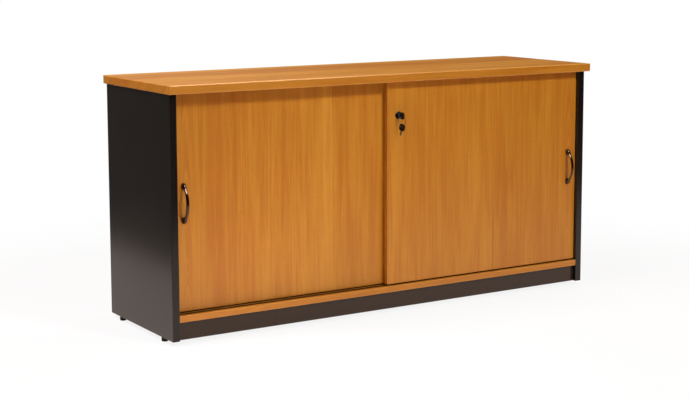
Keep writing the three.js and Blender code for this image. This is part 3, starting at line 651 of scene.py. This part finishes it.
# Node, axes across and along the grain and through the board, place of the heart, and seed
beech_board("left_door", X, Z, Y, -0.677, 2.3)
beech_board("right_door", X, Z, Y, 0.690, 8.1)
beech_board("top_panel", Y, X, Z, 0.05, 4.7, contrast=2.0)
beech_board("bottom_panel", Y, X, Z, 0.10, 6.2, strip=BEECH_MIDDLE)
beech_board("left_shelf", Y, X, Z, 0.02, 9.4)
beech_board("right_shelf", Y, X, Z, -0.04, 1.6)
beech_board("centre_divider", Y, Z, X, 0.06, 3.9)
for node, thin in (("left_end_panel", X), ("right_end_panel", X), ("back_panel", Y), ("plinth_brace", X)):
    charcoal_board(node, thin)
charcoal_board("kick_board", Y, KICK_BROWN)
print("boards finished")

# %% [markdown]
# The small parts are dark polished metal, black nickel, plated steel, moulded black plastic, brown
# extruded track and dark nylon. A single grey would read as paint, so each has clouds of finger
# marks or a fine moulded grain in its roughness and relief, from one more shared group.

# %% Metals and plastics
MARK_LUMPS = 90.0
GRAIN_TONE = 0.6


def handled_group():
    """Clouds of finger marks, and a grain whose size is given in metres."""
    tree, given, out = new_group("handled_surface", {"Place": "Vector", "Grain Size": "Float"},
                                 {"Clouds": "Float", "Grain": "Float"})
    clouds = noise(tree, scaled(tree, given["Place"], MARK_LUMPS), 4.0)
    grain_lumps = maths(tree, "DIVIDE", 1.0, given["Grain Size"])
    grain = noise(tree, scaled(tree, given["Place"], grain_lumps), 2.0)
    tree.links.new(clouds, out["Clouds"])
    tree.links.new(grain, out["Grain"])
    return tree


handled_surface = handled_group()


def small_part(name, dark, light, rough, rough_spread, metal, grain_size, depth, sheen=0.5):
    """A finish between two tones, with clouds in its roughness and a fine grain in its relief."""
    material, tree, shader = empty_material(name)
    place = put(tree, "TexCoord").outputs["Object"]
    marks = use_group(tree, handled_surface, {"Place": place, "Grain Size": grain_size})
    tone = maths(tree, "ADD", marks["Clouds"], centred(tree, marks["Grain"], GRAIN_TONE), clamp=True)
    spread = maths(tree, "ADD", rough, centred(tree, marks["Clouds"], rough_spread))
    fill_shader(tree, shader, blended(tree, tone, dark, light), spread, marks["Grain"], depth)
    shader["Metallic"].default_value = metal
    shader["Specular IOR Level"].default_value = sheen
    return material


FINISHES = {
    "handle_metal": small_part("handle_metal", (0.075, 0.048, 0.032, 1), (0.12, 0.080, 0.058, 1), rough=0.13,
                               rough_spread=0.10, metal=1, grain_size=0.0006, depth=4e-6),
    "lock_metal": small_part("lock_metal", (0.018, 0.017, 0.016, 1), (0.040, 0.038, 0.036, 1), rough=0.24,
                             rough_spread=0.12, metal=1, grain_size=0.0005, depth=4e-6),
    "steel": small_part("steel", (0.44, 0.44, 0.43, 1), (0.60, 0.60, 0.58, 1), rough=0.34,
                        rough_spread=0.16, metal=1, grain_size=0.0004, depth=6e-6),
    "key_steel": small_part("key_steel", (0.20, 0.18, 0.155, 1), (0.32, 0.29, 0.26, 1), rough=0.30,
                            rough_spread=0.16, metal=1, grain_size=0.0004, depth=6e-6),
    "black_plastic": small_part("black_plastic", (0.004, 0.004, 0.004, 1), (0.010, 0.009, 0.009, 1),
                                rough=0.42, rough_spread=0.12, metal=0, grain_size=0.0005,
                                depth=1.2e-5, sheen=0.25),
    # The track's red-brown is darker and redder than the plastic alone, partly painted shade of the gap
    # below the doors
    "track_plastic": small_part("track_plastic", (0.020, 0.0065, 0.0030, 1), (0.042, 0.0145, 0.0070, 1),
                                rough=0.38, rough_spread=0.14, metal=0, grain_size=0.0008, depth=1e-5),
    "nylon": small_part("nylon", (0.030, 0.029, 0.028, 1), (0.050, 0.048, 0.046, 1), rough=0.45,
                        rough_spread=0.12, metal=0, grain_size=0.0006, depth=1e-5),
}
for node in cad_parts.values():
    kind = node.data.materials[0].name.split(".")[0]
    if kind in FINISHES:
        node.data.materials[0] = FINISHES[kind]
print("small part finishes:", ", ".join(FINISHES))

# %% [markdown]
# A bow handle is a cast bar with flared feet. It could be a curve with a bevel, but its section
# changes from a round foot to a flat oval grip, so it is a section carried along a path. The path
# leaves the door square, leans over quickly, then bends evenly across to the other foot.

# %% Bow handles
HANDLE = {"centres": 96.0, "reach": 29.0, "foot": 8.0, "foot_tall": 10.0, "width": 4.5, "thick": 2.75}
LEAN = math.radians(38)
LEAN_END = 0.20
FLARE = 0.16
HANDLE_X, HANDLE_HEIGHT = 685.5, 395.0
PATH_STEPS, SECTION_STEPS = 141, 40
SOLE_RINGS = np.array([0, 0.5, 0.9])[:, None, None]


def bow_handle(x, face, z):
    """Point = path + x-axis * w cos a + normal * t sin a, with w and t half the width and thickness."""
    s = np.linspace(0, 2, PATH_STEPS)
    inner = np.minimum(s, 2 - s)
    ease = np.clip(inner / LEAN_END, 0, 1)
    tilt = LEAN * ease**2 * (3 - 2 * ease) + (math.pi / 2 - LEAN) * inner
    tilt = np.where(s > 1, math.pi - tilt, tilt)
    steps = np.stack([np.cos(tilt), np.sin(tilt)], -1)
    path = np.concatenate([np.zeros((1, 2)), np.cumsum((steps[1:] + steps[:-1]) / 2, axis=0)])
    out = path[:, 0] / path[:, 0].max() * (HANDLE["reach"] - HANDLE["thick"])
    up = (path[:, 1] / path[-1, 1] - 0.5) * HANDLE["centres"]
    slope = np.stack([np.gradient(out), np.gradient(up)], -1)
    slope /= np.linalg.norm(slope, axis=1, keepdims=True)
    flare = np.exp(-((inner / FLARE) ** 2))
    half_width = HANDLE["width"] + (HANDLE["foot"] - HANDLE["width"]) * flare
    half_thick = HANDLE["thick"] + (HANDLE["foot_tall"] - HANDLE["thick"]) * flare
    angle = np.linspace(0, 2 * np.pi, SECTION_STEPS, endpoint=False)
    side = half_width[:, None] * np.cos(angle)
    rise = half_thick[:, None] * np.sin(angle)
    forward = face - out[:, None] - rise * slope[:, 1:]
    upward = z + up[:, None] - rise * slope[:, :1]
    skin = np.stack([x + side, forward, upward], -1)
    skin = np.concatenate([skin, skin[:, :1]], 1)

    def closed_foot(ring):
        middle = ring[:-1].mean(0)
        return middle + (ring - middle) * SOLE_RINGS

    return np.concatenate([closed_foot(skin[0]), skin, closed_foot(skin[-1])[::-1]]) * MM


for side_name, x in (("left", -HANDLE_X), ("right", HANDLE_X)):
    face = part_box(side_name + "_door")[0].y / MM
    add_piece(side_name + "_bow_handle", [[bow_handle(x, face, HANDLE_HEIGHT)]], FINISHES["handle_metal"],
              side_name + "_door", [side_name + "_handle"])

# %% [markdown]
# The push lock is a black-nickel rosette on a barrel, a plunger that slides in it and a steel core
# with a key slot. The rosette and plunger are turned from profiles of radius and depth behind the
# door's face, in millimetres. The core's face has a slot, so its grid runs from the floor of the
# slot up its walls, out to the rim and round the back.

# %% Lock
LOCK = (21.0, -193.0, 602.0)
CORE = {"radius": 5.0, "front": -8.4, "back": 7.7, "chamfer": 0.4}
SLOT = {"half": 1.3, "tall": 3.7, "floor": 6.7, "chamfer": 0.2}
CORE_STEPS = 96
TINY = 1e-6
rosette = soften([(7.6, -2.4), (8.6, -2.4), (9.0, -2.0), (10.5, -1.9), (11.5, -1.2), (11.5, 0), (9.4, 0),
                  (9.4, 16), (7.6, 16), (7.6, -2.4)], radius=0.35)
add_piece("lock_rosette", [[placed(turned(rosette), LOCK, "y")]], FINISHES["lock_metal"], "right_door",
          ["lock_housing"])
plunger = soften([(0, 8), (5.2, 8), (5.2, -8), (6.5, -8), (7.3, -7.2), (7.3, 10), (5, 10), (5, 14.7),
                  (0, 14.7)], radius=0.5)
add_piece("lock_push_button", [[placed(turned(plunger), LOCK, "y")]], FINISHES["lock_metal"], "lock_plunger",
          ["lock_plunger"])


def slotted_core():
    """Rows of radius r(a): the slot is r = min(w / |cos a|, h / |sin a|), the rim is a circle."""
    angle = np.linspace(0, 2 * np.pi, CORE_STEPS, endpoint=False)
    slot = np.minimum(SLOT["half"] / np.maximum(np.abs(np.cos(angle)), TINY),
                      SLOT["tall"] / np.maximum(np.abs(np.sin(angle)), TINY))
    rim = np.full_like(angle, CORE["radius"])
    rows = [(slot * 0, SLOT["floor"]), (slot, SLOT["floor"]), (slot, CORE["front"] + SLOT["chamfer"]),
            (slot + SLOT["chamfer"], CORE["front"]), (rim - CORE["chamfer"], CORE["front"]),
            (rim, CORE["front"] + CORE["chamfer"]), (rim, CORE["back"]), (rim * 0, CORE["back"])]
    reach = np.stack([row[0] for row in rows])
    depth = np.broadcast_to(np.array([row[1] for row in rows])[:, None], reach.shape)
    grid = np.stack([reach * np.cos(angle), depth, reach * np.sin(angle)], -1)
    return (np.concatenate([grid, grid[:, :1]], 1) + np.array(LOCK)) * MM


add_piece("lock_slotted_core", [[slotted_core()]], FINISHES["key_steel"], "lock_core", ["lock_core"])

# %% [markdown]
# Two flat keys have moulded black heads and cut steel blades; one is in the lock and the spare
# hangs from it on a split ring. A head is a skin between two outlines, the ring hole and a rounded
# square, with a raised rim. A blade is a grooved section carried along, its lower edge cut by
# notches. The ring is a wire wound twice round.

# %% Keys and ring
HEAD = {"middle": -20.95, "long": 10.75, "wide": 11.0, "eye": 1.6, "hole": 3.4, "hole_at": -20.0}
SQUARENESS = 2.8
HEAD_STEPS, BLADE_STEPS = 72, 120
# Share of the way from the eye to the outline, and half the head's thickness there
HEAD_PROFILE = [(0, 1.0), (0.05, 1.6), (0.16, 1.75), (0.26, 1.35), (0.74, 1.35), (0.84, 1.8), (0.95, 1.7),
                (1.0, 1.0)]
BLADE = {"start": -15.2, "bow": -10.2, "tip": 5.7, "half_tall": 3.3, "blunt": 0.06}
NOTCH = {"count": 3, "wide": 1.4, "deep": 1.4, "offset": 0.5, "pitches": 4.5}
# Millimetres across the blade, and the share of its height, with a groove in each side
BLADE_SECTION = np.array([(-0.8, 0), (0.8, 0), (1, 0.05), (1, 0.38), (0.55, 0.44), (0.55, 0.6), (1, 0.66),
                          (1, 0.95), (0.8, 1), (-0.8, 1), (-1, 0.95), (-1, 0.66), (-0.55, 0.6),
                          (-0.55, 0.44), (-1, 0.38), (-1, 0.05), (-0.8, 0)])


def key_head(eye_y, eye_z):
    """Point = (1 - s) * eye(a) + s * outline(a) in the key's plane, at the profile's height at s."""
    loop = HEAD_PROFILE + [(s, -h) for s, h in HEAD_PROFILE[::-1]] + HEAD_PROFILE[:1]
    s, height = soften(loop, radius=0.25).T
    angle = np.linspace(0, 2 * np.pi, HEAD_STEPS, endpoint=False)
    c, n = np.cos(angle), np.sin(angle)
    power = 2 / SQUARENESS
    outline = np.stack([HEAD["middle"] + HEAD["long"] * np.sign(c) * np.abs(c) ** power,
                        HEAD["wide"] * np.sign(n) * np.abs(n) ** power], -1)
    eye = np.stack([eye_y + HEAD["eye"] * c, eye_z + HEAD["eye"] * n], -1)
    flat = eye + (outline - eye) * s[:, None, None]
    grid = np.concatenate([np.broadcast_to(height[:, None, None], (*flat.shape[:2], 1)), flat], -1)
    return np.concatenate([grid, grid[:, :1]], 1)


def key_blade():
    """A grooved section between a lower edge, raised at each notch, and an upper edge, to a narrow tip."""
    tip, half_tall = BLADE["tip"], BLADE["half_tall"]
    y = np.linspace(BLADE["start"], tip, BLADE_STEPS)
    number = np.arange(1, NOTCH["count"] + 1) + NOTCH["offset"]
    cuts = BLADE["bow"] + number * (tip - BLADE["bow"]) / NOTCH["pitches"]
    notch = (NOTCH["deep"] * np.clip(1 - np.abs(y[:, None] - cuts) / NOTCH["wide"], 0, 1)).sum(1)
    narrow = np.clip((tip - y) / half_tall, BLADE["blunt"], 1)
    low, high = -half_tall * narrow + notch * narrow, half_tall * narrow
    z = low[:, None] + (high - low)[:, None] * BLADE_SECTION[:, 1]
    wide = np.broadcast_to(BLADE_SECTION[:, 0], z.shape)
    grid = np.stack([wide, np.broadcast_to(y[:, None], z.shape), z], -1)
    ends = [np.broadcast_to(row[:-1].mean(0), row.shape) for row in (grid[0], grid[-1])]
    return np.concatenate([ends[0][None], grid, ends[1][None]])


RING = {"radius": 16.0, "wire": 0.4, "pitch": 0.8, "drop": 1.7, "turns": 1.97, "step_over": 0.35}
RING_STEPS, WIRE_STEPS = 240, 16
RING_TURN = math.radians(15)
SPARE_TILT = math.radians(15)
HANG_GAP = 0.4
ring_hole = np.array([LOCK[0], LOCK[1] + HEAD["hole_at"], LOCK[2]])
hang = HEAD["hole"] - 2 * RING["wire"] - HANG_GAP
spare_hole = ring_hole - (0, 0, hang + RING["drop"] + 2 * RING["radius"])
spare_turn = np.array(Matrix.Rotation(RING_TURN, 3, "Z") @ Matrix.Rotation(SPARE_TILT - math.pi / 2, 3, "X"))


def in_lock(grid):
    """A key drawn about the lock's axis, put in the lock."""
    return (grid + np.array(LOCK)) * MM


def on_ring(grid):
    """The same key turned to hang by its hole from the ring."""
    return ((grid - (0, HEAD["hole_at"], 0)) @ spare_turn.T + spare_hole) * MM


def split_ring():
    """A wire round the circle twice, stepping over to its second turn by tanh half way along."""
    turn = np.linspace(0, 2 * np.pi * RING["turns"], RING_STEPS)
    over = RING["pitch"] / 2 * np.tanh((turn - 2 * np.pi) / RING["step_over"])
    around = np.linspace(0, 2 * np.pi, WIRE_STEPS, endpoint=False)
    thin = np.concatenate([[0], np.ones(len(turn) - 2), [0]])[:, None] * RING["wire"]
    reach = RING["radius"] + thin * np.cos(around)
    side = over[:, None] + thin * np.sin(around)
    flat, tall = reach * np.sin(turn)[:, None], -reach * np.cos(turn)[:, None]
    c, n = math.cos(RING_TURN), math.sin(RING_TURN)
    grid = np.stack([flat * c + side * n, flat * n - side * c, tall], -1)
    centre = ring_hole - (0, 0, RING["drop"] + RING["radius"])
    return (np.concatenate([grid, grid[:, :1]], 1) + centre) * MM


PLASTIC, STEEL, KEY_STEEL = FINISHES["black_plastic"], FINISHES["steel"], FINISHES["key_steel"]
head_in_lock = in_lock(key_head(HEAD["hole_at"], -RING["drop"]))
head_on_ring = on_ring(key_head(HEAD["hole_at"] - hang, 0))
add_piece("key_head", [[head_in_lock]], PLASTIC, "key", ["key_bow"])
add_piece("key_cut_blade", [[in_lock(key_blade())]], KEY_STEEL, "key", ["key_blade"])
add_piece("split_ring", [[split_ring()]], KEY_STEEL, "key_ring", ["key_ring"])
add_piece("spare_key_head", [[head_on_ring]], PLASTIC, "key_ring", ["spare_key_bow"])
add_piece("spare_key_cut_blade", [[on_ring(key_blade())]], KEY_STEEL, "key_ring",
          ["spare_key_blade"])

# %% [markdown]
# The levelling feet are round plastic blocks on a stud that screws up into the end panel, with
# shallow flutes for the fingers. They are turned shapes whose radius also waves with the angle over
# the height of the block. The stud is left plain, because it is hidden in the panel.

# %% Levelling feet
FLUTES = {"count": 18, "deep": 0.05, "from_radius": 9.1, "radius_fade": 0.4, "from_height": 1.2,
          "height_fade": 0.8}
FOOT_STEPS = 144
foot_profile = soften([(0, 0), (8.5, 0), (9.5, 1), (9.5, 12.2), (8.9, 12.8), (3.9, 12.8), (3.9, 41.8),
                       (0, 41.8)], radius=0.6)


def foot(centre):
    """A turned foot with r = r0 * (1 - depth * (1 + cos(n a)) / 2) where r0 is the block's."""
    grid = turned(foot_profile, FOOT_STEPS)
    radius = np.hypot(grid[..., 0], grid[..., 1])
    block = np.clip((radius - FLUTES["from_radius"]) / FLUTES["radius_fade"], 0, 1)
    block *= np.clip((grid[..., 2] - FLUTES["from_height"]) / FLUTES["height_fade"], 0, 1)
    wave = 1 + np.cos(FLUTES["count"] * np.arctan2(grid[..., 1], grid[..., 0]))
    grid[..., :2] *= (1 - FLUTES["deep"] * block * wave / 2)[..., None]
    return placed(grid, centre)


def middle_of(node):
    """The middle of a CAD node's box in millimetres."""
    low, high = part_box(node)
    return [(a + b) / 2 / MM for a, b in zip(low, high)]


for name in ("front_left_foot", "rear_left_foot", "front_right_foot", "rear_right_foot"):
    x, y, _ = middle_of(name)
    add_piece("levelling_" + name, [[foot((x, y, 0))]], PLASTIC, name, [name])

# %% [markdown]
# Behind the doors are nylon wheels with a hub and a rounded tread, screws that hold the handles, and
# the pins under the shelves. They show when a door is open, so they get the same care: the wheels
# and pins are turned, and the screw heads are domes with a cross pressed into them.

# %% Wheels, screws and pins
SCREW = {"radius": 4.0, "dome_from": 19.2, "dome_steps": 14}
# An arm of the cross is clip(wide - |x| / wide_fade) * clip(long - |y| / long_fade) deep
CROSS = {"from_height": 19.3, "deep": 1.1, "wide": 1.4, "wide_fade": 0.5, "long": 4.5, "long_fade": 0.55}
PIN_STEPS = 40
PIN_OFFSET = 0.5
wheel_profile = soften([(1.8, -2.3), (4, -2.3), (4.6, -1.6), (9, -1.6), (9.8, -2.3), (11, -2.3), (12, -1.3),
                        (12, 1.3), (11, 2.3), (9.8, 2.3), (9, 1.6), (4.6, 1.6), (4, 2.3), (1.8, 2.3),
                        (1.8, -2.3)], radius=0.5)
pin_profile = soften([(0, -7), (2.5, -7), (2.5, 0), (3.5, 0), (3.5, 8), (0, 8)], radius=0.6)
quarter = np.linspace(0, 1, SCREW["dome_steps"]) * np.pi / 2
dome = np.stack([SCREW["radius"] * np.cos(quarter), SCREW["dome_from"] + np.sin(quarter)], -1)
shank = [(0, -6), (2, -6), (2, 18), (SCREW["radius"], 18), (SCREW["radius"], SCREW["dome_from"])]
screw_profile = np.concatenate([soften(shank, radius=0.25), dome])


def handle_screw(x, face, z):
    """A turned screw whose head sinks by the depth of a cross: the larger of two rounded bars."""
    grid = turned(screw_profile)
    off = np.abs(grid[..., :2])
    across = np.clip(CROSS["wide"] - off / CROSS["wide_fade"], 0, 1)
    along = np.clip(CROSS["long"] - off / CROSS["long_fade"], 0, 1)
    cross = (across * along[..., ::-1]).max(-1)
    grid[..., 2] -= np.where(grid[..., 2] > CROSS["from_height"], CROSS["deep"] * cross, 0)
    return placed(grid, (x, face, z), "y")


for side_name in ("left", "right"):
    body = side_name + "_door"
    for end in "ab":
        node = f"{side_name}_roller_wheel_{end}"
        wheel = placed(turned(wheel_profile), middle_of(node), "y")
        add_piece("grooved_" + node, [[wheel]], FINISHES["nylon"], f"{side_name}_wheel_{end}",
                  [node])
    for level in ("lower", "upper"):
        node = f"{side_name}_handle_{level}_screw"
        x, _, z = middle_of(node)
        screw = handle_screw(x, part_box(body)[0].y / MM, z)
        add_piece("cross_" + node, [[screw]], STEEL, body, [node])
for shelf in ("left", "right"):
    for side_name in ("left", "right"):
        for end in ("front", "rear"):
            node = f"{shelf}_shelf_{side_name}_{end}_pin"
            x, y, z = middle_of(node)
            inward = 1 if side_name == "left" else -1
            skin = turned(pin_profile, PIN_STEPS) * (1, 1, inward)
            pin = placed(skin, (x - inward * PIN_OFFSET, y, z), "x")
            add_piece("rounded_" + node, [[pin]], STEEL, "carcass", [node])
